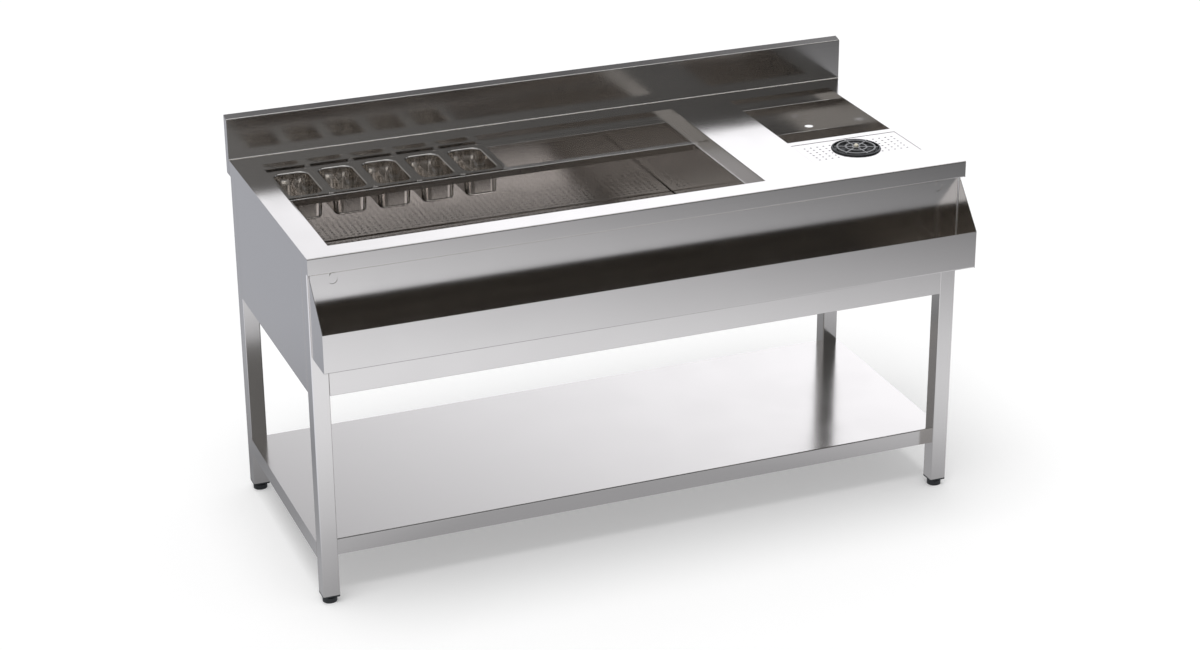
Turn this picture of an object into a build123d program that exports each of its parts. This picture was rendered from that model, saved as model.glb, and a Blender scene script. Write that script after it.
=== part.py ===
from build123d import *
import os

# Bar station, millimetres, +Z up, +X to the right, +Y to the back.
# The origin is on the floor, at the middle of the length and of the overall depth.

# Overall sizes
worktop_length = 1600.0
worktop_depth = 700.0
worktop_height = 860.0
edge_drop = 40.0
edge_return = 8.0
bend_radius = 2.5
top_sheet = 1.5
thin_sheet = 1.2

# Upstand along the back
upstand_height = 100.0
upstand_thickness = 25.0
upstand_top_rise = 6.0

# Legs, plugs and feet
leg_size = 40.0
leg_wall = 1.5
leg_corner_radius = 2.5
leg_setback = 21.0
foot_height = 16.0
foot_radius = 17.0
foot_neck_radius = 9.0
foot_neck_height = 4.0
foot_gap = 0.2
stem_radius = 5.0
stem_clearance = 0.05
stem_length = 30.0
plug_flange = 4.0
plug_depth = 25.0
plug_clearance = 0.1

# Undershelf
shelf_height = 145.0
shelf_lip = 40.0
shelf_lip_overlap = 6.0
stiffener_width = 80.0
stiffener_height = 25.0
shelf_stiffener_end_gap = 12.0

# Panels below the worktop
panel_bottom_height = 520.0
panel_return = 15.0

# Stiffeners under the worktop
rear_beam_height = 60.0
rear_beam_depth = 22.0
top_stiffener_width = 60.0
top_stiffener_height = 40.0

# Cut-outs in the worktop, measured from its left, right, front and from the upstand
cutout_margin = 60.0
cutout_rear_margin = 63.0
well_to_sink = 156.0
collar_depth = 30.0
sink_length = 274.0
sink_width = 340.0

# Ice well
tub_depth = 246.0
insulation_side = 14.0
insulation_floor = 25.0
casing_sheet = 0.8
false_bottom_depth = 217.0
false_bottom_gap = 3.0
false_bottom_seat_gap = 0.2
well_drain_outer_radius = 20.0
well_drain_end_radius = 19.0
well_drain_bore_radius = 16.0
well_drain_flange_radius = 32.0
well_drain_flange_thickness = 2.0
well_drain_end_length = 36.0
well_drain_bend_radius = 28.0
well_drain_drop = 34.0
well_drain_nut_thickness = 9.0
hole_clearance = 0.2

# Pan supports and pans
support_drop = 22.0
ledge_depth = 26.0
left_ledge_depth = 19.0
right_ledge_depth = 25.5
ledge_lip = 10.0
ledge_edge_radius = 0.4
pan_bar_width = 14.0
pan_bar_thickness = 1.5
pan_bar_nose = 5.0
pan_bar_end_gap = 0.5
pan_rail_width = 19.0
pan_rail_face = 16.0
pan_rail_face_gap = 2.0
pan_rail_end_gap = 14.0
rail_slot_length = 11.0
rail_slot_width = 7.0
pan_count = 5
pan_length = 176.0
pan_width = 106.0
pan_pitch = 107.0
pan_rim = 11.5
pan_rim_thickness = 1.0
pan_depth = 65.0
pan_wall = 0.8
pan_taper = 2.0
pan_corner_radius = 22.0
pan_bend_radius = 2.2
pan_rim_corner_radius = 8.0
pan_floor_radius = 9.0
pan_body_clearance = 0.5
pan_side_gap = 8.5

# Sink: a bowl with a lower shelf behind it for a tap
sink_depth = 140.0
sink_shelf_drop = 80.0
sink_shelf_width = 75.0
sink_ledge_drop = 22.0
sink_drain_radius = 22.0
sink_drain_nut_radius = 34.0
sink_drain_nut_thickness = 8.0
tap_hole_radius = 11.0
tap_hole_from_right = 71.0
tap_hole_from_back = 41.0

# Rinser tray and drip pan
tray_length = 274.0
tray_width = 138.0
tray_sheet = 0.8
tray_gap = 1.1
tray_from_sink = 22.0
tray_ledge = 8.0
tray_hole_radius = 2.4
tray_hole_pitch = 16.5
tray_hole_columns = 15
tray_hole_rows = 6
drip_pan_depth = 46.0
drip_pan_flange = 12.0
drip_drain_radius = 10.0
drip_drain_bore_radius = 8.0
drip_drain_end_length = 25.0
drip_drain_from_end = 40.0
hose_tail_bend_radius = 16.0
hose_tail_below_sink = 21.0

# Glass rinser
dish_radius = 59.0
dish_tray_gap = 0.6
dish_thickness = 9.0
dish_recess = 6.0
dish_rim = 4.0
dish_rise = 2.5
dish_edge_radius = 2.0
rinser_body_radius = 26.0
inlet_radius = 10.0
inlet_end_radius = 9.5
inlet_bore_radius = 6.0
inlet_end_length = 31.0
inlet_nut_radius = 17.0
inlet_nut_thickness = 7.0
nozzle_radius = 6.0
nozzle_rise = 8.0
nozzle_edge_radius = 4.5
nozzle_jet_radius = 0.8
nozzle_jet_circle = 2.6
nozzle_jet_count = 6
nozzle_jet_depth = 4.0
spider_outer_radius = 47.0
spider_inner_radius = 27.0
spider_hub_radius = 10.5
spider_ring_width = 4.0
spider_spoke_width = 3.5
spider_spoke_reach = 52.0
spider_spoke_count = 6
spider_turn = 35.4
spider_thickness = 3.0
spider_hub_clearance = 0.4
spider_travel = 4.0
spring_wire_radius = 0.6
spring_radius = 8.0
spring_turns = 5
spring_pocket_radius = 10.0
spring_pocket_depth = 14.0
spring_seat_gap = 0.3

# Bottle rail that hangs on the front
trough_end_inset = 5.0
trough_reach = 96.0
trough_lip_height = 91.0
trough_floor_drop = 241.0
trough_top_drop = 43.0
trough_sheet = 1.2
trough_bend_radius = 3.0
trough_gap = 0.3
trough_end_top = 4.0
stud_from_end = 60.0
stud_drop = 53.3
stud_shank_radius = 4.0
stud_head_radius = 6.5
stud_head_thickness = 2.0
keyhole_radius = 11.0
keyhole_slot_clearance = 0.5
keyhole_travel = 9.0

# Places worked out from the sizes above
trough_overhang = trough_reach - leg_setback
front_y = (trough_overhang - worktop_depth) / 2
back_y = front_y + worktop_depth
fold_y = back_y - upstand_thickness
left_x = -worktop_length / 2
right_x = worktop_length / 2
underside_z = worktop_height - top_sheet
edge_z = worktop_height - edge_drop
leg_bottom_z = foot_height + plug_flange
leg_outer_x = right_x - top_sheet
leg_inner_x = leg_outer_x - leg_size
leg_front_y = front_y + leg_setback
leg_front_back_y = leg_front_y + leg_size
leg_rear_y = fold_y - leg_size

sink_x1 = right_x - cutout_margin
sink_x0 = sink_x1 - sink_length
well_x0 = left_x + cutout_margin
well_x1 = sink_x0 - well_to_sink
well_y0 = front_y + cutout_margin
well_y1 = fold_y - cutout_rear_margin
sink_y1 = well_y1
sink_y0 = sink_y1 - sink_width
sink_floor_z = worktop_height - sink_depth
sink_shelf_z = worktop_height - sink_shelf_drop
sink_shelf_y = sink_y1 - sink_shelf_width
hose_tail_z = sink_floor_z - thin_sheet - hose_tail_below_sink
tray_x1 = sink_x1
tray_x0 = tray_x1 - tray_length
tray_y1 = sink_y0 - tray_from_sink
tray_y0 = tray_y1 - tray_width

collar_z = worktop_height - collar_depth
tub_floor_z = worktop_height - tub_depth
support_z = worktop_height - support_drop
ledge_z = support_z - top_sheet
rim_seat_z = support_z + pan_bar_thickness
ledge_y = well_y1 - ledge_depth
pan_y1 = ledge_y + pan_rim - pan_body_clearance
pan_y0 = pan_y1 - pan_length
pan_rail_y1 = pan_y0 + pan_rim - pan_body_clearance
pan_rail_y0 = pan_rail_y1 - pan_rail_width
pan_start_x = well_x0 + pan_side_gap

rinser_x = (tray_x0 + tray_x1) / 2
rinser_y = (tray_y0 + tray_y1) / 2
drip_floor_z = worktop_height - drip_pan_depth
dish_top_z = worktop_height + dish_rise
dish_bottom_z = dish_top_z - dish_thickness
dish_floor_z = dish_top_z - dish_recess
spider_bottom_z = dish_floor_z + spider_travel + spring_seat_gap

trough_length = worktop_length - 2 * trough_end_inset
trough_back_y = leg_front_y - trough_gap
trough_front_y = leg_front_y - trough_reach
trough_floor_z = worktop_height - trough_floor_drop
trough_top_z = worktop_height - trough_top_drop
trough_lip_z = trough_floor_z + trough_lip_height
stud_z = worktop_height - stud_drop


def block(x0, x1, y0, y1, z0, z1):
    """Box between two corners."""
    middle = Pos((x0 + x1) / 2, (y0 + y1) / 2, (z0 + z1) / 2)
    return middle * Box(x1 - x0, y1 - y0, z1 - z0)


def upright(x, y, z0, z1, radius):
    """Cylinder standing on z0."""
    return Pos(x, y, (z0 + z1) / 2) * Cylinder(radius, z1 - z0)


def drill(x, y, radius):
    """Upright cutter for a hole right through."""
    return upright(x, y, -worktop_height, 2 * worktop_height, radius)


def hex_nut(x, y, top_z, thickness, radius, bore_radius):
    """Hexagon nut with its upper face at top_z."""
    body = extrude(RegularPolygon(radius, 6), amount=-thickness)
    return Pos(x, y, top_z) * body - drill(x, y, bore_radius)


def hose_tail(x, y, top_z, drop, bend, end_length, radius, bore_radius):
    """Tube that goes down, turns to the back and ends in a straight length for a hose."""
    low_z = top_z - drop
    end_y = y + bend + end_length
    path = FilletPolyline((x, y, top_z), (x, y, low_z), (x, end_y, low_z), radius=bend)
    wall = Circle(radius) - Circle(bore_radius)
    return sweep(Plane(origin=path @ 0, z_dir=path % 0) * wall, path=path)


def folded_sheet(points, thickness, radius, x0, x1):
    """Bent sheet: a Y-Z outline of its outer face, thickened to the right and drawn along X."""
    outline = FilletPolyline(*points, radius=radius)
    face = make_face(offset(outline, amount=thickness, side=Side.RIGHT))
    return extrude(Plane.YZ.offset(x0) * face, amount=x1 - x0)


def frame_ring(x0, x1, y0, y1, z0, z1, wall):
    """Four upright walls outside a rectangular opening."""
    outer = block(x0 - wall, x1 + wall, y0 - wall, y1 + wall, z0, z1)
    return outer - block(x0, x1, y0, y1, z0 - wall, z1 + wall)


def open_box(x0, x1, y0, y1, floor_z, top_z, wall):
    """Box with a floor and four walls outside an inner space, open at the top."""
    outer = block(x0 - wall, x1 + wall, y0 - wall, y1 + wall, floor_z - wall, top_z)
    return outer - block(x0, x1, y0, y1, floor_z, top_z + wall)


def one_solid(shape):
    """The single solid of a finished shape."""
    return shape.solids()[0]


def make_worktop():
    outline = [
        (front_y + edge_return, edge_z),
        (front_y, edge_z),
        (front_y, worktop_height),
        (fold_y, worktop_height),
        (fold_y, worktop_height + upstand_height),
        (back_y, worktop_height + upstand_height + upstand_top_rise),
        (back_y, edge_z),
    ]
    top = folded_sheet(outline, top_sheet, bend_radius, left_x, right_x)
    side = block(left_x, left_x + top_sheet, front_y, fold_y, edge_z, worktop_height)
    front_top = side.edges().filter_by(Axis.X).group_by(Axis.Z)[-1].sort_by(Axis.Y)[0]
    side = fillet(front_top, bend_radius)
    top = top + side + mirror(side, about=Plane.YZ)
    cut_z0 = underside_z - top_sheet
    cut_z1 = worktop_height + top_sheet
    top = top - block(well_x0, well_x1, well_y0, well_y1, cut_z0, cut_z1)
    top = top - block(sink_x0, sink_x1, sink_y0, sink_y1, cut_z0, cut_z1)
    return top - block(
        tray_x0 - tray_gap, tray_x1 + tray_gap, tray_y0 - tray_gap, tray_y1 + tray_gap, cut_z0, cut_z1
    )


def make_upstand_cap(outer_x, inward):
    front = fold_y + top_sheet
    back = back_y - top_sheet
    slope = upstand_top_rise / upstand_thickness
    top_front = worktop_height + upstand_height - bend_radius
    top_back = top_front + slope * (back - front)
    outline = Polyline(
        (front, edge_z),
        (back, edge_z),
        (back, top_back),
        (front, top_front),
        close=True,
    )
    face = make_face(outline)
    return extrude(Plane.YZ.offset(outer_x) * face, amount=inward * thin_sheet)


def make_leg(x_side, y0):
    x_middle = x_side * (leg_outer_x - leg_size / 2)
    middle = Pos(x_middle, y0 + leg_size / 2, leg_bottom_z)
    inner_size = leg_size - 2 * leg_wall
    outer = RectangleRounded(leg_size, leg_size, leg_corner_radius)
    hollow = RectangleRounded(inner_size, inner_size, leg_corner_radius - leg_wall)
    return middle * extrude(outer - hollow, amount=underside_z - leg_bottom_z)


def make_leg_plug(x, y):
    inner_size = leg_size - 2 * leg_wall - 2 * plug_clearance
    flange = RectangleRounded(leg_size, leg_size, leg_corner_radius)
    insert = RectangleRounded(inner_size, inner_size, leg_corner_radius - leg_wall)
    plug = Pos(x, y, foot_height) * extrude(flange, amount=plug_flange)
    plug = plug + Pos(x, y, leg_bottom_z) * extrude(insert, amount=plug_depth)
    return plug - drill(x, y, stem_radius + stem_clearance)


def make_foot(x, y):
    top_z = foot_height - foot_gap
    base_top_z = top_z - foot_neck_height
    base = upright(x, y, 0, base_top_z, foot_radius)
    neck = upright(x, y, base_top_z, top_z, foot_neck_radius)
    stem = upright(x, y, top_z, top_z + stem_length, stem_radius)
    return base + neck + stem


def make_undershelf():
    lip_front_y = leg_front_back_y - shelf_lip_overlap
    lip_rear_y = leg_rear_y + shelf_lip_overlap
    low_z = shelf_height - shelf_lip
    wide = block(-leg_outer_x, leg_outer_x, leg_front_back_y, leg_rear_y, low_z, shelf_height)
    long = block(-leg_inner_x, leg_inner_x, lip_front_y, lip_rear_y, low_z, shelf_height)
    inner_x = leg_outer_x - thin_sheet
    inner_long_x = leg_inner_x - thin_sheet
    top_z = shelf_height - thin_sheet
    below = low_z - thin_sheet
    wide_hollow = block(
        -inner_x, inner_x, leg_front_back_y + thin_sheet, leg_rear_y - thin_sheet, below, top_z
    )
    long_hollow = block(
        -inner_long_x, inner_long_x, lip_front_y + thin_sheet, lip_rear_y - thin_sheet, below, top_z
    )
    shelf = (wide + long) - wide_hollow - long_hollow
    front_edge = shelf.edges().filter_by(Axis.X).group_by(Axis.Z)[-1].sort_by(Axis.Y)[0]
    return fillet(front_edge, bend_radius)


def make_hat(x0, x1, y_middle, width, height, top_z):
    """Upside-down hat section along X, with its open side against the sheet above."""
    flange = height
    half = width / 2
    low = top_z - height
    outer = block(x0, x1, y_middle - half, y_middle + half, low, top_z)
    inner = half - thin_sheet
    hat = outer - block(x0, x1, y_middle - inner, y_middle + inner, low + thin_sheet, top_z)
    left = block(x0, x1, y_middle - half - flange, y_middle - half, top_z - thin_sheet, top_z)
    right = block(x0, x1, y_middle + half, y_middle + half + flange, top_z - thin_sheet, top_z)
    return hat + left + right


def make_shelf_stiffener():
    y_middle = (leg_front_back_y + leg_rear_y) / 2
    reach = leg_outer_x - thin_sheet - shelf_stiffener_end_gap
    return make_hat(-reach, reach, y_middle, stiffener_width, stiffener_height, shelf_height - thin_sheet)


def make_side_panel(x_side):
    inner_x = leg_outer_x - panel_return
    outer = block(inner_x, leg_outer_x, leg_front_back_y, leg_rear_y, panel_bottom_height, underside_z)
    hollow = block(
        inner_x - thin_sheet,
        leg_outer_x - thin_sheet,
        leg_front_back_y + thin_sheet,
        leg_rear_y - thin_sheet,
        panel_bottom_height + thin_sheet,
        worktop_height,
    )
    panel = outer - hollow
    if x_side < 0:
        return mirror(panel, about=Plane.YZ)
    return panel


def make_front_apron():
    inner_y = leg_front_y + panel_return
    outer = block(-leg_inner_x, leg_inner_x, leg_front_y, inner_y, panel_bottom_height, underside_z)
    hollow = block(
        thin_sheet - leg_inner_x,
        leg_inner_x - thin_sheet,
        leg_front_y + thin_sheet,
        inner_y + thin_sheet,
        panel_bottom_height + thin_sheet,
        worktop_height,
    )
    apron = outer - hollow
    low_front = apron.edges().filter_by(Axis.X).group_by(Axis.Z)[0].sort_by(Axis.Y)[0]
    return fillet(low_front, thin_sheet)


def make_rear_beam():
    y0 = fold_y - rear_beam_depth
    low = underside_z - rear_beam_height
    outer = block(-leg_inner_x, leg_inner_x, y0, fold_y, low, underside_z)
    return outer - block(
        -leg_inner_x,
        leg_inner_x,
        y0 - top_sheet,
        fold_y - top_sheet,
        low + top_sheet,
        underside_z - top_sheet,
    )


def make_top_stiffener():
    middle = (well_x1 + sink_x0) / 2
    half = top_stiffener_width / 2
    y0 = leg_front_y + panel_return
    y1 = fold_y - rear_beam_depth
    low = underside_z - top_stiffener_height
    outer = block(middle - half, middle + half, y0, y1, low, underside_z)
    return outer - block(
        middle - half + top_sheet, middle + half - top_sheet, y0, y1, low + top_sheet, underside_z
    )


def make_collar(x0, x1, y0, y1):
    return frame_ring(x0, x1, y0, y1, collar_z, underside_z, top_sheet)


def well_space(grow):
    """Limits of the ice well, grown outwards on every side."""
    return well_x0 - grow, well_x1 + grow, well_y0 - grow, well_y1 + grow


def well_drain_place():
    return (well_x0 + well_x1) / 2, (well_y0 + well_y1) / 2


def make_well_tub():
    tub = open_box(*well_space(0), tub_floor_z, collar_z, thin_sheet)
    return tub - drill(*well_drain_place(), well_drain_outer_radius + hole_clearance)


def make_insulation():
    x0, x1, y0, y1 = well_space(top_sheet)
    top_z = tub_floor_z - thin_sheet
    outer = block(
        x0 - insulation_side,
        x1 + insulation_side,
        y0 - insulation_side,
        y1 + insulation_side,
        top_z - insulation_floor,
        underside_z,
    )
    foam = outer - block(x0, x1, y0, y1, top_z, worktop_height)
    return foam - drill(*well_drain_place(), well_drain_outer_radius + hole_clearance)


def casing_floor_z():
    return tub_floor_z - thin_sheet - insulation_floor


def make_casing():
    casing = open_box(*well_space(top_sheet + insulation_side), casing_floor_z(), underside_z, casing_sheet)
    return casing - drill(*well_drain_place(), well_drain_outer_radius + hole_clearance)


def make_well_drain():
    x, y = well_drain_place()
    flange_top = tub_floor_z + well_drain_flange_thickness
    nut_low_z = casing_floor_z() - casing_sheet - well_drain_nut_thickness
    drain = upright(x, y, tub_floor_z, flange_top, well_drain_flange_radius)
    drain = drain + upright(x, y, nut_low_z, tub_floor_z, well_drain_outer_radius)
    drain = drain - drill(x, y, well_drain_bore_radius)
    return drain + hose_tail(
        x,
        y,
        nut_low_z,
        well_drain_drop,
        well_drain_bend_radius,
        well_drain_end_length,
        well_drain_end_radius,
        well_drain_bore_radius,
    )


def make_well_drain_nut():
    x, y = well_drain_place()
    top_z = casing_floor_z() - casing_sheet
    bore_radius = well_drain_outer_radius + stem_clearance
    return hex_nut(x, y, top_z, well_drain_nut_thickness, well_drain_flange_radius, bore_radius)


def make_false_bottom():
    x0, x1, y0, y1 = well_space(-false_bottom_gap)
    top_z = worktop_height - false_bottom_depth
    low_z = tub_floor_z + false_bottom_seat_gap
    outer = block(x0, x1, y0, y1, low_z, top_z)
    return outer - block(x0, x1, y0 + thin_sheet, y1 - thin_sheet, low_z, top_z - thin_sheet)


def make_ledge(x0, x1, y_wall, away, top_z):
    """Angle along X: a flat shelf off a wall and a lip turned down at its free edge."""
    y_edge = y_wall + away * ledge_depth
    y_lip = y_edge - away * top_sheet
    shelf = block(x0, x1, min(y_wall, y_edge), max(y_wall, y_edge), top_z - top_sheet, top_z)
    lip = block(x0, x1, min(y_edge, y_lip), max(y_edge, y_lip), top_z - ledge_lip, top_z)
    ledge = shelf + lip
    nose = ledge.edges().filter_by(Axis.X).group_by(Axis.Z)[-1].sort_by(Axis.Y)
    return fillet(nose[0] if away < 0 else nose[-1], thin_sheet)


def make_well_ledge():
    """Ledge round the inside of the ice well, with a lip turned down at its free edge."""
    x0 = well_x0 + left_ledge_depth
    x1 = well_x1 - right_ledge_depth
    y0 = well_y0 + ledge_depth
    y1 = well_y1 - ledge_depth
    outer = block(*well_space(0), ledge_z - top_sheet, ledge_z)
    shelf = outer - block(x0, x1, y0, y1, ledge_z - ledge_lip, worktop_height)
    ledge = shelf + frame_ring(x0, x1, y0, y1, ledge_z - ledge_lip, ledge_z, top_sheet)
    top_face = ledge.faces().sort_by(Axis.Z)[-1]
    ledge = fillet(top_face.inner_wires()[0].edges(), ledge_edge_radius)
    slot_x = well_x1 - pan_rail_end_gap / 2
    slot_y = (pan_rail_y0 + pan_rail_y1) / 2
    return ledge - Pos(slot_x, slot_y, ledge_z) * Box(rail_slot_length, rail_slot_width, 2 * ledge_lip)


def make_pan_rail():
    """Cross rail: its top lies on the side ledges, its front face hangs between them."""
    x0 = well_x0 + pan_bar_end_gap
    x1 = well_x1 - pan_rail_end_gap
    face_x0 = well_x0 + left_ledge_depth + pan_rail_face_gap
    face_x1 = well_x1 - right_ledge_depth - pan_rail_face_gap
    face_low_z = support_z - pan_rail_face
    top = block(x0, x1, pan_rail_y0, pan_rail_y1, ledge_z, support_z)
    face = block(face_x0, face_x1, pan_rail_y0, pan_rail_y0 + top_sheet, face_low_z, support_z)
    rail = top + face
    nose = rail.edges().filter_by(Axis.X).group_by(Axis.Z)[-1].sort_by(Axis.Y)[0]
    return fillet(nose, thin_sheet)


def make_pan_bar(x_middle):
    """Flat bar under two pans' rims, with a pad at the back that stands on the ledge."""
    half = pan_bar_width / 2
    x0 = max(x_middle - half, well_x0 + pan_bar_end_gap)
    x1 = x_middle + half
    back = well_y1 - pan_bar_end_gap
    bar = block(x0, x1, pan_y0 - pan_bar_nose, back, support_z, rim_seat_z)
    return bar + block(x0, x1, ledge_y + top_sheet, back, ledge_z, support_z)


def make_pan(index):
    x_middle = pan_start_x + pan_width / 2 + index * pan_pitch
    place = Pos(x_middle, (pan_y0 + pan_y1) / 2, rim_seat_z)
    mouth_width = pan_width - 2 * pan_rim
    mouth_length = pan_length - 2 * pan_rim
    rim = extrude(RectangleRounded(pan_width, pan_length, pan_rim_corner_radius), amount=pan_rim_thickness)
    mouth = RectangleRounded(mouth_width, mouth_length, pan_corner_radius)
    body = extrude(mouth, amount=-pan_depth, taper=pan_taper)
    body = fillet(body.faces().sort_by(Axis.Z)[0].edges(), pan_floor_radius)
    outside = rim + body
    under_rim = outside.faces().filter_by(Plane.XY).sort_by(Axis.Z)[-2]
    outside = fillet(under_rim.inner_wires()[0].edges(), pan_bend_radius)
    inner_mouth = RectangleRounded(
        mouth_width - 2 * pan_wall, mouth_length - 2 * pan_wall, pan_corner_radius - pan_wall
    )
    hollow = extrude(inner_mouth, amount=pan_wall - pan_depth, taper=pan_taper)
    hollow = fillet(hollow.faces().sort_by(Axis.Z)[0].edges(), pan_floor_radius - pan_wall)
    way_in = extrude(inner_mouth, amount=2 * pan_rim_thickness)
    pan = outside - hollow - way_in
    top_face = pan.faces().filter_by(Plane.XY).sort_by(Axis.Z)[-1]
    return place * fillet(top_face.inner_wires()[0].edges(), pan_bend_radius + pan_wall)


def sink_drain_place():
    return (sink_x0 + sink_x1) / 2, (sink_y0 + sink_shelf_y) / 2


def make_sink_basin():
    """Bowl and shelf in one folded sheet, with a drain hole in the bowl and a tap hole in the shelf."""
    bowl = open_box(sink_x0, sink_x1, sink_y0, sink_shelf_y, sink_floor_z, collar_z, thin_sheet)
    upper = open_box(sink_x0, sink_x1, sink_y0, sink_y1, sink_shelf_z, collar_z, thin_sheet)
    basin = bowl + upper
    basin = basin - block(sink_x0, sink_x1, sink_y0, sink_shelf_y, sink_floor_z, worktop_height)
    basin = basin - block(sink_x0, sink_x1, sink_y0, sink_y1, sink_shelf_z, worktop_height)
    drain_x, drain_y = sink_drain_place()
    shelf_edge = basin.edges().filter_by(Axis.X).sort_by_distance((drain_x, sink_shelf_y, sink_shelf_z))[0]
    basin = fillet(shelf_edge, thin_sheet)
    basin = basin - drill(drain_x, drain_y, sink_drain_radius)
    return basin - drill(sink_x1 - tap_hole_from_right, sink_y1 - tap_hole_from_back, tap_hole_radius)


def make_sink_ledges():
    top_z = worktop_height - sink_ledge_drop
    rear = make_ledge(sink_x0, sink_x1, sink_y1, -1, top_z)
    front = make_ledge(sink_x0, sink_x1, sink_y0, 1, top_z)
    return Compound([one_solid(rear), one_solid(front)])


def make_sink_drain_nut():
    x, y = sink_drain_place()
    top_z = sink_floor_z - thin_sheet
    return hex_nut(x, y, top_z, sink_drain_nut_thickness, sink_drain_nut_radius, sink_drain_radius)


def make_drip_pan():
    flange_top = underside_z
    x0 = tray_x0 + tray_ledge
    x1 = tray_x1 - tray_ledge
    y0 = tray_y0 + tray_ledge
    y1 = tray_y1 - tray_ledge
    pan = open_box(x0, x1, y0, y1, drip_floor_z, flange_top, thin_sheet)
    reach = tray_ledge + drip_pan_flange
    flange = block(x0 - reach, x1 + reach, y0 - reach, y1 + reach, flange_top - thin_sheet, flange_top)
    pan = pan + (flange - block(x0, x1, y0, y1, flange_top - 2 * thin_sheet, worktop_height))
    pan = pan - drill(rinser_x, rinser_y, inlet_radius + hole_clearance)
    drain_x = tray_x0 + drip_drain_from_end
    drain_top_z = drip_floor_z - thin_sheet
    pan = pan - drill(drain_x, rinser_y, drip_drain_bore_radius)
    return pan + hose_tail(
        drain_x,
        rinser_y,
        drain_top_z,
        drain_top_z - hose_tail_z,
        hose_tail_bend_radius,
        drip_drain_end_length,
        drip_drain_radius,
        drip_drain_bore_radius,
    )


def tray_hole_places():
    """Centres of the drain holes: a grid with a round space left for the dish."""
    clear_radius = dish_radius + dish_tray_gap + 2 * tray_hole_radius
    for place in GridLocations(tray_hole_pitch, tray_hole_pitch, tray_hole_columns, tray_hole_rows):
        if place.position.length > clear_radius:
            yield place.position


def make_rinser_tray():
    plate = block(tray_x0, tray_x1, tray_y0, tray_y1, underside_z, underside_z + tray_sheet)
    holes = [drill(rinser_x + at.X, rinser_y + at.Y, tray_hole_radius) for at in tray_hole_places()]
    holes.append(drill(rinser_x, rinser_y, dish_radius + dish_tray_gap))
    return plate - holes


def make_rinser_base():
    x, y = rinser_x, rinser_y
    dish = upright(x, y, dish_bottom_z, dish_top_z, dish_radius)
    dish = fillet(dish.edges().group_by(Axis.Z)[-1], dish_edge_radius)
    dish = dish - upright(x, y, dish_floor_z, dish_top_z + dish_recess, dish_radius - dish_rim)
    body = upright(x, y, drip_floor_z, dish_bottom_z, rinser_body_radius)
    thread_low_z = drip_floor_z - thin_sheet - inlet_nut_thickness
    thread = upright(x, y, thread_low_z, drip_floor_z, inlet_radius)
    inlet = hose_tail(
        x,
        y,
        thread_low_z,
        thread_low_z - hose_tail_z,
        hose_tail_bend_radius,
        inlet_end_length,
        inlet_end_radius,
        inlet_bore_radius,
    )
    pocket = upright(x, y, dish_floor_z - spring_pocket_depth, dish_top_z, spring_pocket_radius)
    return dish + body + thread + inlet - pocket


def make_rinser_nut():
    top_z = drip_floor_z - thin_sheet
    bore_radius = inlet_radius + stem_clearance
    return hex_nut(rinser_x, rinser_y, top_z, inlet_nut_thickness, inlet_nut_radius, bore_radius)


def make_rinser_nozzle():
    low_z = dish_floor_z - spring_pocket_depth
    top_z = dish_top_z + nozzle_rise
    post = upright(rinser_x, rinser_y, low_z, top_z, nozzle_radius)
    post = fillet(post.edges().group_by(Axis.Z)[-1], nozzle_edge_radius)
    jet = Pos(rinser_x, rinser_y, top_z)
    hole = Cylinder(nozzle_jet_radius, 2 * nozzle_jet_depth)
    return post - [jet * place * hole for place in PolarLocations(nozzle_jet_circle, nozzle_jet_count)]


def make_rinser_spider():
    outer = Circle(spider_outer_radius) - Circle(spider_outer_radius - spider_ring_width)
    inner = Circle(spider_inner_radius) - Circle(spider_inner_radius - spider_ring_width)
    hub_bore = Circle(nozzle_radius + spider_hub_clearance)
    shape = outer + inner + Circle(spider_hub_radius)
    for place in PolarLocations(0, spider_spoke_count, start_angle=spider_turn):
        spoke = Pos(spider_spoke_reach / 2, 0) * Rectangle(spider_spoke_reach, spider_spoke_width)
        shape = shape + place * spoke
    shape = shape - hub_bore
    return Pos(rinser_x, rinser_y, spider_bottom_z) * extrude(shape, amount=spider_thickness)


def make_rinser_spring():
    low_z = dish_floor_z - spring_pocket_depth + spring_wire_radius + spring_seat_gap
    high_z = spider_bottom_z - spring_wire_radius - spring_seat_gap
    height = high_z - low_z
    path = Helix(pitch=height / spring_turns, height=height, radius=spring_radius)
    start = Plane(origin=path @ 0, z_dir=path % 0)
    wire = sweep(start * Circle(spring_wire_radius), path=path)
    return Pos(rinser_x, rinser_y, low_z) * wire


def keyhole(x):
    """Keyhole through the back plate: the slot's closed end rests on the stud."""
    slot_radius = stud_shank_radius + keyhole_slot_clearance
    top_z = stud_z + stud_shank_radius + trough_gap - slot_radius
    round_z = top_z - keyhole_travel
    across = Rot(90, 0, 0)
    depth = 4 * trough_sheet
    hole = Pos(x, trough_back_y, round_z) * across * Cylinder(keyhole_radius, depth)
    slot_end = Pos(x, trough_back_y, top_z) * across * Cylinder(slot_radius, depth)
    slot = Pos(x, trough_back_y, (round_z + top_z) / 2) * Box(2 * slot_radius, depth, keyhole_travel)
    return hole + slot_end + slot


def stud_places():
    reach = worktop_length / 2 - stud_from_end
    return -reach, reach


def make_bottle_rail():
    outline = [
        (trough_front_y, trough_lip_z),
        (trough_front_y, trough_floor_z),
        (trough_back_y, trough_floor_z),
        (trough_back_y, trough_top_z),
    ]
    half = trough_length / 2 - trough_sheet
    rail = folded_sheet(list(reversed(outline)), trough_sheet, trough_bend_radius, -half, half)
    for x in stud_places():
        rail = rail - keyhole(x)
    return rail


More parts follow.
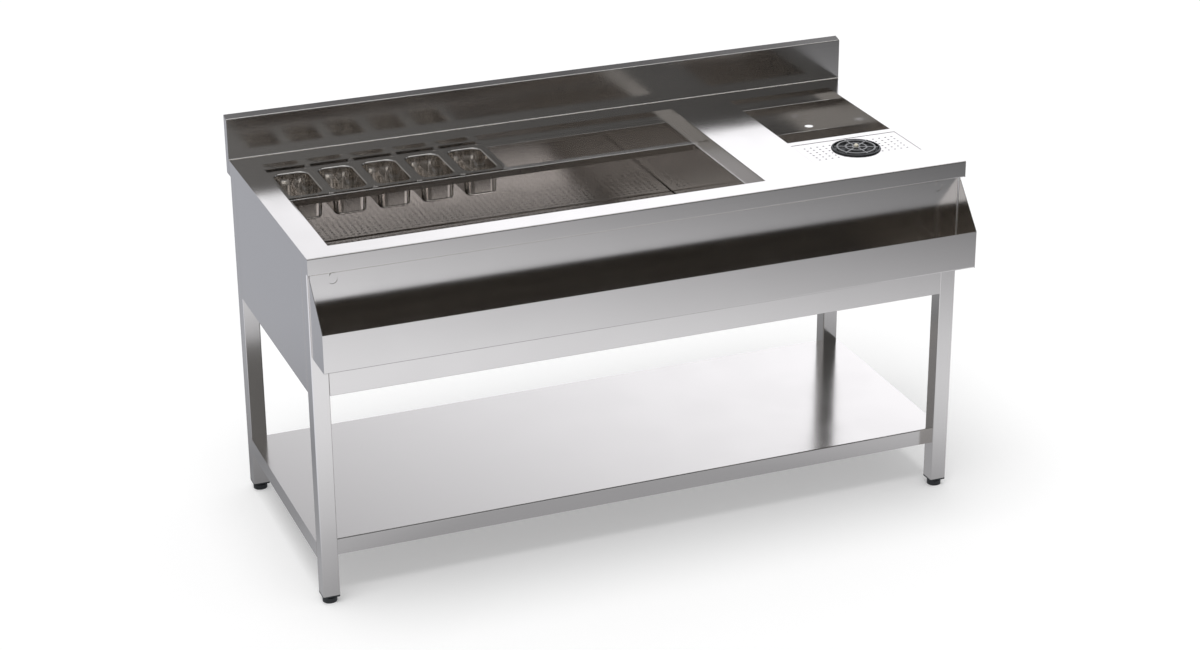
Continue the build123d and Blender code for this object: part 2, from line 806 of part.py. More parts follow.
def make_rail_end(outer_x, inward):
    outline = Polyline(
        (trough_back_y, trough_floor_z),
        (trough_back_y, trough_top_z),
        (trough_back_y - trough_end_top, trough_top_z),
        (trough_front_y, trough_lip_z),
        (trough_front_y, trough_floor_z),
        close=True,
    )
    face = make_face(outline)
    corners = face.vertices().group_by(Axis.Y)[0].sort_by(Axis.Z)
    face = fillet(corners[0], trough_bend_radius)
    return extrude(Plane.YZ.offset(outer_x) * face, amount=inward * trough_sheet)


def make_hanging_studs():
    studs = []
    head_back_y = trough_back_y - trough_sheet - trough_gap
    shank_length = leg_front_y - head_back_y
    shank = Cylinder(stud_shank_radius, shank_length, align=(Align.CENTER, Align.CENTER, Align.MAX))
    head = Cylinder(stud_head_radius, stud_head_thickness, align=(Align.CENTER, Align.CENTER, Align.MIN))
    for x in stud_places():
        seat = Pos(x, head_back_y, stud_z) * Rot(90, 0, 0)
        studs.append(one_solid(seat * (shank + head)))
    return Compound(studs)


def all_nodes():
    nodes = {
        "worktop": make_worktop(),
        "upstand_cap_left": make_upstand_cap(left_x, 1),
        "upstand_cap_right": make_upstand_cap(right_x, -1),
        "undershelf": make_undershelf(),
        "shelf_stiffener": make_shelf_stiffener(),
        "side_panel_left": make_side_panel(-1),
        "side_panel_right": make_side_panel(1),
        "front_apron": make_front_apron(),
        "rear_beam": make_rear_beam(),
        "top_stiffener": make_top_stiffener(),
        "well_collar": make_collar(well_x0, well_x1, well_y0, well_y1),
        "well_tub": make_well_tub(),
        "well_insulation": make_insulation(),
        "well_casing": make_casing(),
        "well_drain": make_well_drain(),
        "well_drain_nut": make_well_drain_nut(),
        "false_bottom": make_false_bottom(),
        "well_ledge": make_well_ledge(),
        "pan_rail": make_pan_rail(),
        "sink_collar": make_collar(sink_x0, sink_x1, sink_y0, sink_y1),
        "sink_basin": make_sink_basin(),
        "sink_ledges": make_sink_ledges(),
        "sink_drain_nut": make_sink_drain_nut(),
        "drip_pan": make_drip_pan(),
        "rinser_tray": make_rinser_tray(),
        "rinser_base": make_rinser_base(),
        "rinser_nut": make_rinser_nut(),
        "rinser_nozzle": make_rinser_nozzle(),
        "rinser_spider": make_rinser_spider(),
        "rinser_spring": make_rinser_spring(),
        "bottle_rail": make_bottle_rail(),
        "bottle_rail_end_left": make_rail_end(-trough_length / 2, 1),
        "bottle_rail_end_right": make_rail_end(trough_length / 2, -1),
        "hanging_studs": make_hanging_studs(),
    }
    for x_side, side_name in ((-1, "left"), (1, "right")):
        for y0, end_name in ((leg_front_y, "front"), (leg_rear_y, "rear")):
            place = f"{end_name}_{side_name}"
            x = x_side * (leg_outer_x - leg_size / 2)
            y = y0 + leg_size / 2
            nodes[f"leg_{place}"] = make_leg(x_side, y0)
            nodes[f"leg_plug_{place}"] = make_leg_plug(x, y)
            nodes[f"foot_{place}"] = make_foot(x, y)
    for index in range(pan_count):
        nodes[f"pan_{index + 1}"] = make_pan(index)
    for index in range(pan_count + 1):
        bar_x = pan_start_x + index * pan_pitch - (pan_pitch - pan_width) / 2
        nodes[f"pan_bar_{index + 1}"] = make_pan_bar(bar_x)
    return nodes


os.makedirs("parts", exist_ok=True)
for name, shape in all_nodes().items():
    export_step(shape, f"parts/{name}.step")
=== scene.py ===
from math import radians, sqrt

import bpy
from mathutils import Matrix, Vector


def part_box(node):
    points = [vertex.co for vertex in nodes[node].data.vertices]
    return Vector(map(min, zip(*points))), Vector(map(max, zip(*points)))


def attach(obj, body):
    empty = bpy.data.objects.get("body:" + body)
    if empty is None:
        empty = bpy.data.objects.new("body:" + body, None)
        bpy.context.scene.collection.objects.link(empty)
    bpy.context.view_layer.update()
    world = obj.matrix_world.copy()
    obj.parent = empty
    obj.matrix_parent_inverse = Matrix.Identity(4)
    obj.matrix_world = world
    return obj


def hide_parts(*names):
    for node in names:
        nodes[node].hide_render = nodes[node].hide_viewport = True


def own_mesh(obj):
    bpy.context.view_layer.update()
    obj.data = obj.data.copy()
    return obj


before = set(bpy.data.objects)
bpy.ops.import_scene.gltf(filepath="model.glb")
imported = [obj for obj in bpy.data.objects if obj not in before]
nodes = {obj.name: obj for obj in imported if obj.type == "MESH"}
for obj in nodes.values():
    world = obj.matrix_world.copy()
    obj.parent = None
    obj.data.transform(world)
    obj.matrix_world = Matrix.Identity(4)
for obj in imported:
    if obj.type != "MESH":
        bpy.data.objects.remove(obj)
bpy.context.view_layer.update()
print("frame loaded:", len(nodes), "nodes")


# shader nodes and links
def addNode(tree, kind, **settings):
    node = tree.nodes.new(kind)
    for key, value in settings.items():
        setattr(node, key, value)
    return node


def mapRange(tree, source, before, after, smooth=False):
    node = addNode(tree, "ShaderNodeMapRange", interpolation_type="SMOOTHSTEP" if smooth else "LINEAR")
    for key, value in zip(("From Min", "From Max", "To Min", "To Max"), (*before, *after)):
        node.inputs[key].default_value = value
    tree.links.new(source, node.inputs["Value"])
    return node.outputs["Result"]


def combine(tree, operation, first, second):
    node = addNode(tree, "ShaderNodeMath", operation=operation)
    for socket, value in zip(node.inputs, (first, second)):
        if isinstance(value, (int, float)):
            socket.default_value = value
        else:
            tree.links.new(value, socket)
    return node.outputs["Value"]


def mixColour(tree, share, first, second, blend="MIX"):
    node = addNode(tree, "ShaderNodeMix", data_type="RGBA", blend_type=blend)
    for socket, value in ((node.inputs["Factor"], share), (node.inputs[6], first), (node.inputs[7], second)):
        if isinstance(value, bpy.types.NodeSocket):
            tree.links.new(value, socket)
        else:
            socket.default_value = value
    return node.outputs[2]


def multiplyColour(tree, first, second):
    return mixColour(tree, 1.0, first, second, "MULTIPLY")


def colourRamp(tree, source, stops):
    ramp = addNode(tree, "ShaderNodeValToRGB")
    points = ramp.color_ramp.elements
    while len(points) < len(stops):
        points.new(0.5)
    for point, (place, colour) in zip(points, stops):
        point.position = place
        point.color = (*colour, 1)
    tree.links.new(source, ramp.inputs["Fac"])
    return ramp.outputs["Color"]


def stretchedNoise(tree, coords, scale, detail):
    mapping = addNode(tree, "ShaderNodeMapping")
    mapping.inputs["Scale"].default_value = scale
    noise = addNode(tree, "ShaderNodeTexNoise")
    noise.inputs["Scale"].default_value = 1.0
    noise.inputs["Detail"].default_value = detail
    tree.links.new(coords, mapping.inputs["Vector"])
    tree.links.new(mapping.outputs["Vector"], noise.inputs["Vector"])
    return noise.outputs["Fac"]


def addBump(tree, shader, height, strength, depth):
    bump = addNode(tree, "ShaderNodeBump")
    bump.inputs["Strength"].default_value = strength
    bump.inputs["Distance"].default_value = depth
    tree.links.new(height, bump.inputs["Height"])
    tree.links.new(bump.outputs["Normal"], shader.inputs["Normal"])


def newMaterial(name):
    material = bpy.data.materials.new(name)
    material.use_nodes = True
    tree = material.node_tree
    return material, tree, tree.nodes["Principled BSDF"]


# stainless steel
brushing = {
    "lines": {"x": (6, 1400, 1400), "y": (1400, 6, 1400), "z": (1400, 1400, 6)},  # per metre, by direction
    "lineDetail": 3,
    "lineSpan": (0.3, 0.7),  # part of the noise from dark line to light line
    "darkLine": 0.97,
    "wiping": (7, 7, 7),  # faint marks, per metre
    "wipingDetail": 2,
    "wipingSpan": (0.35, 0.65),
    "depth": 0.0002,
}
steelLight = (0.68, 0.656, 0.63)
steelLooks = {
    "stainless_along_x": dict(light=steelLight, along="x", rough=0.16, spread=0.015, wipe=0.012, bump=0.003),
    "stainless_along_y": dict(light=steelLight, along="y", rough=0.14, spread=0.015, wipe=0.012, bump=0.003),
    "stainless_along_z": dict(light=steelLight, along="z", rough=0.14, spread=0.015, wipe=0.012, bump=0.003),
    "stainless_tub": dict(light=steelLight, along="x", rough=0.09, spread=0.008, wipe=0.008, bump=0.003),
    "stainless_sink": dict(light=steelLight, along="x", rough=0.16, spread=0.015, wipe=0.012, bump=0.005),
    "perforated_steel": dict(light=(0.735, 0.7, 0.67), along="x",
                             rough=0.2, spread=0.02, wipe=0.015, bump=0.005),
    "polished_pan": dict(light=(0.69, 0.665, 0.635), along="z",
                         rough=0.08, spread=0.012, wipe=0.008, bump=0.0002),
    "weld_seam": dict(light=(0.74, 0.72, 0.7), along="z",
                      rough=0.42, spread=0.05, wipe=0.03, bump=0.02),
    "turned_fitting": dict(light=(0.66, 0.65, 0.64), along="x",
                           rough=0.24, spread=0.03, wipe=0.02, bump=0.02),
}


def brushedSteel(name, look):
    material, tree, shader = newMaterial(name)
    coords = addNode(tree, "ShaderNodeTexCoord").outputs["Object"]
    lines = stretchedNoise(tree, coords, brushing["lines"][look["along"]], brushing["lineDetail"])
    marks = stretchedNoise(tree, coords, brushing["wiping"], brushing["wipingDetail"])
    start, end = brushing["lineSpan"]
    dark = [channel * brushing["darkLine"] for channel in look["light"]]
    colour = colourRamp(tree, lines, [(start, dark), (end, look["light"])])
    tree.links.new(colour, shader.inputs["Base Color"])
    rough, spread, wipe = look["rough"], look["spread"], look["wipe"]
    brushed = mapRange(tree, lines, brushing["lineSpan"], (rough - spread, rough + spread))
    wiped = mapRange(tree, marks, brushing["wipingSpan"], (-wipe, wipe), True)
    tree.links.new(combine(tree, "ADD", brushed, wiped), shader.inputs["Roughness"])
    addBump(tree, shader, lines, look["bump"], brushing["depth"])
    shader.inputs["Metallic"].default_value = 1.0
    return material


steels = {name: brushedSteel(name, look) for name, look in steelLooks.items()}
print("steel finishes:", len(steels))


# moulded, coated and drawn pieces
mottling = {
    "patches": (60, 60, 60),  # per metre
    "patchDetail": 3,
    "patchSpan": (0.3, 0.7),
    "pebbleDetail": 2,
    "depth": 0.0003,
}
otherLooks = {
    "black_plastic": dict(dark=(0.012, 0.013, 0.014), light=(0.02, 0.021, 0.023),
                          rough=(0.38, 0.5), pebble=1800, bump=0.2),
    "foot_plastic": dict(dark=(0.02, 0.023, 0.026), light=(0.032, 0.036, 0.04),
                         rough=(0.42, 0.55), pebble=1800, bump=0.25),
    "grey_plastic": dict(dark=(0.13, 0.13, 0.135), light=(0.17, 0.17, 0.175),
                         rough=(0.3, 0.4), pebble=1800, bump=0.12),
    "brass_nozzle": dict(dark=(0.84, 0.79, 0.64), light=(0.92, 0.88, 0.76),
                         rough=(0.2, 0.3), pebble=900, bump=0.06, metal=0.5),
    "zinc_coat": dict(dark=(0.42, 0.43, 0.44), light=(0.58, 0.59, 0.6),
                      rough=(0.3, 0.45), pebble=300, bump=0.08, metal=1.0),
    "cut_foam": dict(dark=(0.6, 0.56, 0.44), light=(0.7, 0.66, 0.52),
                     rough=(0.85, 0.95), pebble=700, bump=0.5),
    "spring_wire": dict(dark=(0.42, 0.42, 0.42), light=(0.55, 0.55, 0.55),
                        rough=(0.2, 0.3), pebble=1200, bump=0.1, metal=1.0),
}


def mottledFinish(name, look):
    material, tree, shader = newMaterial(name)
    coords = addNode(tree, "ShaderNodeTexCoord").outputs["Object"]
    pebbles = stretchedNoise(tree, coords, (look["pebble"],) * 3, mottling["pebbleDetail"])
    patches = stretchedNoise(tree, coords, mottling["patches"], mottling["patchDetail"])
    start, end = mottling["patchSpan"]
    colour = colourRamp(tree, patches, [(start, look["dark"]), (end, look["light"])])
    tree.links.new(colour, shader.inputs["Base Color"])
    rough = mapRange(tree, patches, mottling["patchSpan"], look["rough"])
    tree.links.new(rough, shader.inputs["Roughness"])
    addBump(tree, shader, pebbles, look["bump"], mottling["depth"])
    shader.inputs["Metallic"].default_value = look.get("metal", 0.0)
    return material


otherFinishes = {name: mottledFinish(name, look) for name, look in otherLooks.items()}
print("other finishes:", len(otherFinishes))


# which node has which finish
legCorners = ("front_left", "front_right", "rear_left", "rear_right")
finishOf = {
    "stainless_along_x": ["worktop", "undershelf", "front_apron", "bottle_rail", "rear_beam",
                          "shelf_stiffener", "well_collar", "sink_collar", "well_ledge", "pan_rail",
                          "sink_ledges", "rinser_tray", "hanging_studs"],
    "stainless_along_y": ["side_panel_left", "side_panel_right", "upstand_cap_left", "upstand_cap_right",
                          "bottle_rail_end_left", "bottle_rail_end_right", "top_stiffener",
                          *[f"pan_bar_{number}" for number in range(1, 7)]],
    "stainless_along_z": [f"leg_{corner}" for corner in legCorners],
    "stainless_tub": ["well_tub", "false_bottom"],
    "stainless_sink": ["sink_basin", "drip_pan"],
    "polished_pan": [f"pan_{number}" for number in range(1, 6)],
    "turned_fitting": ["well_drain", "rinser_nut"],
    "black_plastic": ["well_drain_nut", "sink_drain_nut", "rinser_base"],
    "foot_plastic": [f"{piece}_{corner}" for piece in ("leg_plug", "foot") for corner in legCorners],
    "grey_plastic": ["rinser_spider"],
    "brass_nozzle": ["rinser_nozzle"],
    "zinc_coat": ["well_casing"],
    "cut_foam": ["well_insulation"],
    "spring_wire": ["rinser_spring"],
}
for finish, names in finishOf.items():
    for name in names:
        slots = nodes[name].data.materials
        slots.clear()
        slots.append(steels.get(finish) or otherFinishes[finish])
print("nodes dressed:", sum(len(names) for names in finishOf.values()))


# perforated false bottom
perforation = {
    "pitch": 0.015,
    "holeRadius": 0.0033,
    "sides": 8,
    "cornerReach": 0.3,  # share of the pitch, past it a tile's point is a corner
    "merge": 0.00002,
    "endBorder": 0.016,
    "longBorder": 0.01,
    "near": 0.0001,
    "bend": 0.003,
    "bendSteps": 3,
    "sheet": 0.0012,
}


def pickVerts(piece, test):
    bpy.ops.object.mode_set(mode="OBJECT")
    for vert in piece.data.vertices:
        vert.select = test(vert.co)
    for edge in piece.data.edges:
        edge.select = all(piece.data.vertices[i].select for i in edge.vertices)
    for face in piece.data.polygons:
        face.select = all(piece.data.vertices[i].select for i in face.vertices)
    bpy.ops.object.mode_set(mode="EDIT")


def punchTile(name, centre):
    pitch, radius = perforation["pitch"], perforation["holeRadius"]
    bpy.ops.object.select_all(action="DESELECT")
    bpy.ops.mesh.primitive_circle_add(vertices=perforation["sides"], radius=radius, location=centre)
    tile = bpy.context.object
    tile.name = name
    bpy.ops.object.transform_apply(location=True, rotation=True, scale=True)
    bpy.ops.object.mode_set(mode="EDIT")
    bpy.ops.mesh.select_mode(type="VERT")
    bpy.ops.mesh.select_all(action="SELECT")
    bpy.ops.mesh.extrude_edges_move()
    grow = pitch / 2 / radius
    bpy.ops.transform.resize(value=(grow, grow, 1), center_override=centre)
    # four of the outer points go out to the corners of a square
    reach = pitch * perforation["cornerReach"]
    pickVerts(tile, lambda co: abs(co.x - centre[0]) > reach and abs(co.y - centre[1]) > reach)
    bpy.ops.transform.resize(value=(sqrt(2), sqrt(2), 1), center_override=centre)
    bpy.ops.object.mode_set(mode="OBJECT")
    return tile


def repeatTile(plate, count, step):
    rows = plate.modifiers.new("rows", "ARRAY")
    rows.count = count
    rows.use_relative_offset = False
    rows.use_constant_offset = True
    rows.constant_offset_displace = step
    rows.use_merge_vertices = True
    rows.merge_threshold = perforation["merge"]
    bpy.ops.object.modifier_apply(modifier=rows.name)


def foldBorder(plate, low, high):
    near = perforation["near"]
    xs = [vert.co.x for vert in plate.data.vertices]
    ys = [vert.co.y for vert in plate.data.vertices]
    left, right, front, rear = min(xs), max(xs), min(ys), max(ys)
    # plain border out to the edges, then both long edges down
    for test, move in (
        (lambda co: co.x < left + near, (low.x - left, 0, 0)),
        (lambda co: co.x > right - near, (high.x - right, 0, 0)),
        (lambda co: co.y < front + near, (0, low.y - front, 0)),
        (lambda co: co.y > rear - near, (0, high.y - rear, 0)),
        (lambda co: co.y < low.y + near, (0, 0, low.z - high.z)),
        (lambda co: co.y > high.y - near, (0, 0, low.z - high.z)),
    ):
        pickVerts(plate, test)
        bpy.ops.mesh.extrude_edges_move(TRANSFORM_OT_translate={"value": move})
    pickVerts(plate, lambda co: co.z > high.z - near and not low.y + near < co.y < high.y - near)
    bpy.ops.mesh.bevel(offset=perforation["bend"], segments=perforation["bendSteps"])
    bpy.ops.mesh.select_all(action="SELECT")
    bpy.ops.mesh.normals_make_consistent(inside=False)
    bpy.ops.object.mode_set(mode="OBJECT")


def thickenPlate(plate):
    topFace = max(plate.data.polygons, key=lambda face: face.center.z)
    if topFace.normal.z < 0:
        bpy.ops.object.mode_set(mode="EDIT")
        bpy.ops.mesh.flip_normals()
        bpy.ops.object.mode_set(mode="OBJECT")
    wall = plate.modifiers.new("sheet", "SOLIDIFY")
    wall.thickness = perforation["sheet"]
    wall.offset = -1  # inwards
    bpy.ops.object.modifier_apply(modifier=wall.name)


def modelFalseBottom():
    low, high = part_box("false_bottom")
    pitch = perforation["pitch"]
    countX = int((high.x - low.x - 2 * perforation["endBorder"]) / pitch)
    countY = int((high.y - low.y - 2 * perforation["longBorder"]) / pitch)
    startX = (low.x + high.x - (countX - 1) * pitch) / 2
    startY = (low.y + high.y - (countY - 1) * pitch) / 2
    plate = punchTile("falseBottomPlate", (startX, startY, high.z))
    repeatTile(plate, countX, (pitch, 0, 0))
    repeatTile(plate, countY, (0, pitch, 0))
    foldBorder(plate, low, high)
    thickenPlate(plate)
    plate.data.materials.append(steels["perforated_steel"])
    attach(plate, "false_bottom")
    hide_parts("false_bottom")
    print("false bottom:", countX, "by", countY, "holes,", len(plate.data.polygons), "faces")


modelFalseBottom()


# weld seams in the bottle rail's inner corners
seam = {"radius": 0.0024, "sides": 16, "turn": 0.003, "turnSteps": 4, "short": 0.0008, "smooth": 50}


def startSeam(name, corner):
    bpy.ops.object.select_all(action="DESELECT")
    bpy.ops.mesh.primitive_circle_add(vertices=seam["sides"], radius=seam["radius"],
                                      fill_type="NGON", location=corner)
    bead = bpy.context.object
    bead.name = name
    bpy.ops.object.transform_apply(location=True, rotation=True, scale=True)
    bpy.ops.object.mode_set(mode="EDIT")
    for away in ((1, 0, 0), (0, 1, 0)):  # a quarter of the disc stays
        bpy.ops.mesh.select_all(action="SELECT")
        bpy.ops.mesh.bisect(plane_co=corner, plane_no=away, clear_outer=True)
    bpy.ops.mesh.select_all(action="SELECT")
    return bead


def runSeam(move):
    bpy.ops.mesh.extrude_region_move(TRANSFORM_OT_translate={"value": move})


def turnSeam(centre):
    bpy.ops.mesh.spin(steps=seam["turnSteps"], angle=radians(-90), center=centre, axis=(1, 0, 0))


def finishSeam(bead):
    bpy.ops.mesh.select_all(action="SELECT")
    bpy.ops.mesh.normals_make_consistent(inside=False)
    bpy.ops.object.mode_set(mode="OBJECT")
    bpy.ops.object.shade_smooth_by_angle(angle=radians(seam["smooth"]))
    if not bead.data.materials:
        bead.data.materials.append(steels["weld_seam"])
    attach(bead, "bottle_rail")


def mirrorSeam(bead, name):
    bpy.ops.object.select_all(action="DESELECT")
    bpy.context.view_layer.objects.active = bead
    bead.select_set(True)
    bpy.ops.object.duplicate(linked=False)
    other = bpy.context.object
    other.name = name
    bpy.ops.object.mode_set(mode="EDIT")
    bpy.ops.mesh.select_all(action="SELECT")
    bpy.ops.transform.resize(value=(-1, 1, 1), center_override=(0, 0, 0))
    return other


def weldTrough():
    railLow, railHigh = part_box("bottle_rail")
    endLow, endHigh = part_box("bottle_rail_end_right")
    wall = endHigh.x - endLow.x
    back, front, floor = railHigh.y - wall, railLow.y + wall, railLow.z + wall
    rail = nodes["bottle_rail"]
    railPoints = [rail.matrix_world @ vert.co for vert in rail.data.vertices]
    top = railHigh.z - seam["short"]
    lipTop = max(co.z for co in railPoints if co.y < front) - seam["short"]
    turn = seam["turn"]
    # down the tall back plate, along the floor, up the front lip
    bead = startSeam("troughSeamRight", (endLow.x, back, top))
    runSeam((0, 0, floor + turn - top))
    turnSeam((endLow.x, back - turn, floor + turn))
    runSeam((0, front - back + 2 * turn, 0))
    turnSeam((endLow.x, front + turn, floor + turn))
    runSeam((0, 0, lipTop - floor - turn))
    finishSeam(bead)
    finishSeam(mirrorSeam(bead, "troughSeamLeft"))


weldTrough()
print("trough seams welded")


# return spring under the rinser's spider
spring = {"turns": 5, "wireRadius": 0.0006, "sides": 12, "steps": 32, "smooth": 50}


def coilReturnSpring():
    low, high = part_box("rinser_spring")
    wire = spring["wireRadius"]
    middle = (low + high) / 2
    height = high.z - low.z
    reach = (high.x - low.x) / 2 - wire
    bpy.ops.object.select_all(action="DESELECT")
    bpy.ops.mesh.primitive_circle_add(vertices=spring["sides"], radius=wire, location=(reach, 0, 0),
                                      rotation=(radians(90), 0, 0))
    coil = bpy.context.object
    coil.name = "returnSpring"
    bpy.ops.object.transform_apply(location=True, rotation=True, scale=True)
    winding = coil.modifiers.new("winding", "SCREW")
    winding.screw_offset = (height - 2 * wire) / spring["turns"]
    winding.iterations = spring["turns"]
    winding.steps = winding.render_steps = spring["steps"]
    bpy.ops.object.modifier_apply(modifier=winding.name)
    bpy.ops.object.mode_set(mode="EDIT")
    bpy.ops.mesh.select_all(action="SELECT")
    bpy.ops.mesh.fill_holes(sides=0)  # both cut ends of the wire
    bpy.ops.mesh.select_all(action="SELECT")
    bpy.ops.mesh.normals_make_consistent(inside=False)
    bpy.ops.transform.translate(value=(middle.x, middle.y, low.z + wire))
    bpy.ops.object.mode_set(mode="OBJECT")
    bpy.ops.object.shade_smooth_by_angle(angle=radians(spring["smooth"]))
    coil.data.materials.append(otherFinishes["spring_wire"])
    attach(coil, "station")
    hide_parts("rinser_spring")
    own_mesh(coil)


coilReturnSpring()
print("return spring coiled")


# pale floor; in the steel's reflections it shows a painted pool of light, with painted shadow near the
# station
paleFloor = {
    "size": 60,
    "white": 0.75,
    "glow": 0.28,
    "footprint": (0.8, 1.33, 0.0),  # stretches the painted shadow near the station to its plan
    # painted shadow of the station: levels of the pool by distance from its plan
    "paintedShadowStops": [(0.72, 0.44), (0.79, 0.5), (0.86, 0.56), (0.95, 0.62), (1.07, 0.74), (1.3, 0.86),
                  (1.5, 0.95), (1.7, 1.02), (2.0, 1.07)],
    "fade": (0.72, -1.0, 0.0),  # the painted pool of light fades to the front and right
    "fadeStops": [(1.1, 1.0), (1.5, 0.965), (1.65, 0.92), (1.8, 0.86), (2.0, 0.795), (2.15, 0.72),
                  (2.35, 0.635), (2.6, 0.53), (2.85, 0.425), (3.05, 0.346), (3.35, 0.27), (3.7, 0.178),
                  (4.2, 0.1)],
    "backSpan": (-0.1, 0.5),  # metres, over which the painted pool dims to the back (painted shade)
    "backShade": (1.0, 0.43),
    "tint": (1.015, 1.035, 1.095),
    "leftSpan": (-1.15, -0.9),  # metres, the painted reflection is bluer to the left of it
    "leftTint": (1.015, 1.05, 1.155),
}


def levels(tree, source, stops):
    low, high = stops[0][0], stops[-1][0]
    share = mapRange(tree, source, (low, high), (0.0, 1.0))
    return colourRamp(tree, share, [((place - low) / (high - low), (v, v, v)) for place, v in stops])


def grey(level):
    return (level, level, level, 1)


def paintedPoolOfLight(tree):
    coords = addNode(tree, "ShaderNodeTexCoord").outputs["Object"]
    plan = addNode(tree, "ShaderNodeVectorMath", operation="MULTIPLY")
    plan.inputs[1].default_value = paleFloor["footprint"]
    tree.links.new(coords, plan.inputs[0])
    reach = addNode(tree, "ShaderNodeVectorMath", operation="LENGTH")
    tree.links.new(plan.outputs["Vector"], reach.inputs[0])
    away = addNode(tree, "ShaderNodeVectorMath", operation="DOT_PRODUCT")
    away.inputs[1].default_value = paleFloor["fade"]
    tree.links.new(coords, away.inputs[0])
    across = addNode(tree, "ShaderNodeSeparateXYZ")
    tree.links.new(coords, across.inputs["Vector"])
    # painted shadow close to the station, and painted falloff of the pool away from it
    near = levels(tree, reach.outputs["Value"], paleFloor["paintedShadowStops"])
    far = levels(tree, away.outputs["Value"], paleFloor["fadeStops"])
    # painted shade towards the back, and a bluer painted tint to the left
    back = mapRange(tree, across.outputs["Y"], paleFloor["backSpan"], paleFloor["backShade"])
    left = mapRange(tree, across.outputs["X"], paleFloor["leftSpan"], (1.0, 0.0))
    tint = mixColour(tree, left, (*paleFloor["tint"], 1), (*paleFloor["leftTint"], 1))
    pool = multiplyColour(tree, multiplyColour(tree, near, far), back)
    return multiplyColour(tree, pool, tint)


def layFloor():
    bpy.ops.object.select_all(action="DESELECT")
    bpy.ops.mesh.primitive_plane_add(size=paleFloor["size"], location=(0, 0, 0))
    floor = bpy.context.object
    floor.name = "studioFloor"
    material, tree, shader = newMaterial("pale_floor")
    path = addNode(tree, "ShaderNodeLightPath")
    inSteel = path.outputs["Is Glossy Ray"]
    # glossy rays see a black floor glowing with the painted pool of light and painted shadow
    colour = mixColour(tree, inSteel, grey(paleFloor["white"]), grey(0.0))
    glow = mixColour(tree, inSteel, grey(paleFloor["glow"]), paintedPoolOfLight(tree))
    tree.links.new(colour, shader.inputs["Base Color"])
    tree.links.new(glow, shader.inputs["Emission Color"])
    strength = combine(tree, "SUBTRACT", 1.0, path.outputs["Is Diffuse Ray"])
    tree.links.new(strength, shader.inputs["Emission Strength"])
    shader.inputs["Roughness"].default_value = 1.0
    shader.inputs["Specular IOR Level"].default_value = 0.0
    floor.data.materials.append(material)


layFloor()
print("floor laid")


# studio light, by the direction that a ray leaves in
studio = {
    "cardSpan": (-0.05, 0.5),  # Y, from the dim room in front to the white card behind
    "cardStops": [(0.36, 1.55), (0.39, 1.42), (0.43, 1.08), (0.47, 0.82), (0.5, 0.72), (0.56, 0.35),
                  (0.64, 0.1), (0.72, 0.12), (0.88, 0.55)],  # Z, the last two are the ceiling
    "cardTint": (0.98, 0.993, 1.05),
    "leftSpan": (-0.4, 0.12),  # X, the card dims to the left
    "leftShade": (0.47, 1.0),
    "slopeSpan": (0.15, 0.5),  # X, the card's upper edge rises to the right
    "slope": (0.068, -0.09),
    "roomStops": [(-0.45, 0.55), (0.1, 0.32), (0.25, 0.2), (0.3, 0.15), (0.4, 0.095), (1.0, 0.08)],  # X
    "roomTint": (0.98, 1.0, 1.03),
    "strip": 2.0,
    "stripSides": (0.1, 0.22),  # Y, both ways
    "stripHeight": (0.7, 0.85),  # Z
    "stripEnd": (-0.35, -0.05),  # X
    "skyFill": 0.45,
    "lampPower": 1.75,
    "lampSpread": 40,
    "lampPlace": (0, 0, 4),
    "lampTurn": (6, -8, 0),
    "steelBounces": 14,  # sheet against sheet mirrors many times
}


def cardBehind(tree, aim):
    slope = mapRange(tree, aim["X"], studio["slopeSpan"], studio["slope"])
    card = levels(tree, combine(tree, "ADD", aim["Z"], slope), studio["cardStops"])
    shade = mapRange(tree, aim["X"], studio["leftSpan"], studio["leftShade"], True)
    return multiplyColour(tree, multiplyColour(tree, card, shade), (*studio["cardTint"], 1))


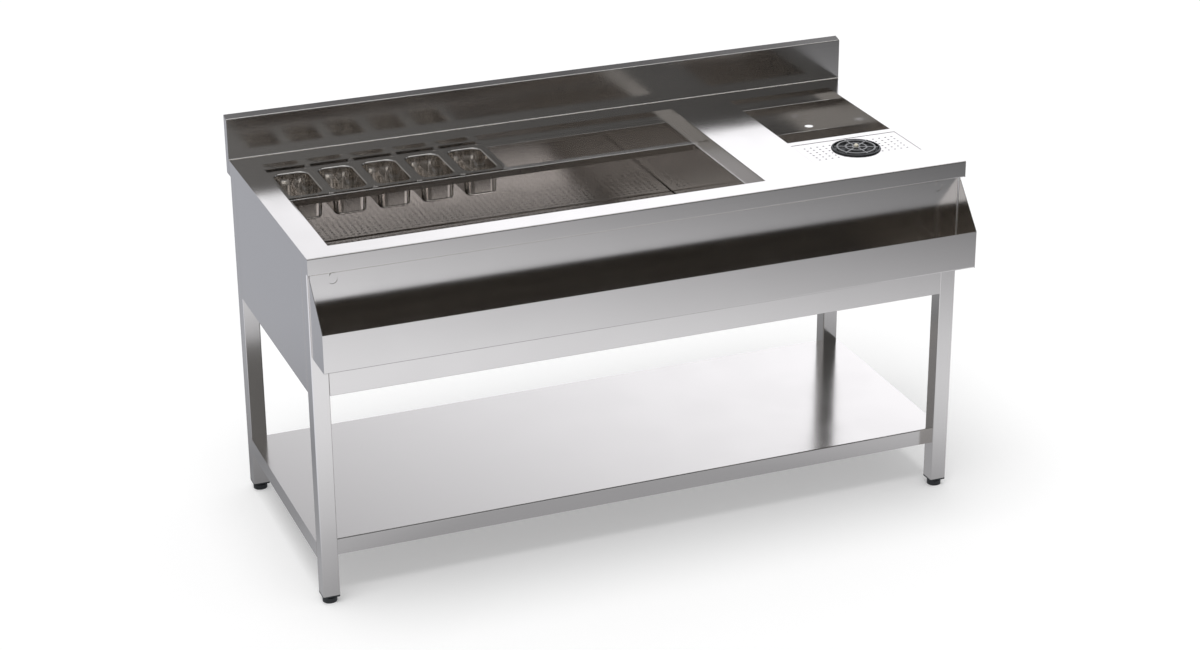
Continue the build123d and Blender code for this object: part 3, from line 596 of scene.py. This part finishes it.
def stripAbove(tree, aim):
    sideways = combine(tree, "ABSOLUTE", aim["Y"], 0.0)
    sides = mapRange(tree, sideways, studio["stripSides"], (1.0, 0.0), True)
    height = mapRange(tree, aim["Z"], studio["stripHeight"], (0.0, studio["strip"]), True)
    end = mapRange(tree, aim["X"], studio["stripEnd"], (0.0, 1.0), True)
    return combine(tree, "MULTIPLY", combine(tree, "MULTIPLY", sides, height), end)


def lightRoom():
    world = bpy.data.worlds.new("studioRoom")
    bpy.context.scene.world = world
    world.use_nodes = True
    tree = world.node_tree
    split = addNode(tree, "ShaderNodeSeparateXYZ")
    tree.links.new(addNode(tree, "ShaderNodeTexCoord").outputs["Generated"], split.inputs["Vector"])
    aim = split.outputs
    room = multiplyColour(tree, levels(tree, aim["X"], studio["roomStops"]), (*studio["roomTint"], 1))
    behind = mapRange(tree, aim["Y"], studio["cardSpan"], (0.0, 1.0), True)
    seen = mixColour(tree, behind, room, cardBehind(tree, aim))
    seen = mixColour(tree, 1.0, seen, stripAbove(tree, aim), "ADD")
    path = addNode(tree, "ShaderNodeLightPath")
    seen = mixColour(tree, path.outputs["Is Diffuse Ray"], seen, grey(studio["skyFill"]))
    seen = mixColour(tree, path.outputs["Is Camera Ray"], seen, grey(1.0))
    tree.links.new(seen, tree.nodes["Background"].inputs["Color"])


def hangLamp():
    turn = [radians(angle) for angle in studio["lampTurn"]]
    bpy.ops.object.light_add(type="SUN", location=studio["lampPlace"], rotation=turn)
    lamp = bpy.context.object
    lamp.name = "overheadLamp"
    lamp.data.energy = studio["lampPower"]
    lamp.data.angle = radians(studio["lampSpread"])
    lamp.visible_glossy = False


lightRoom()
hangLamp()
bpy.context.scene.cycles.max_bounces = studio["steelBounces"]
bpy.context.scene.cycles.glossy_bounces = studio["steelBounces"]
print("studio lit")


# camera, fitted to the object's edges in the photo
view = {"place": (-2.1418, -5.4463, 3.0063), "turn": (66.3822, 0.3622, -21.5985),
        "lens": 79.573, "sensor": 36}
bpy.ops.object.camera_add(location=view["place"], rotation=[radians(angle) for angle in view["turn"]])
camera = bpy.context.object
camera.data.lens = view["lens"]
camera.data.sensor_width = view["sensor"]
camera.data.sensor_fit = "HORIZONTAL"
bpy.context.scene.camera = camera
bpy.context.scene.view_settings.view_transform = "Standard"
print("camera set")
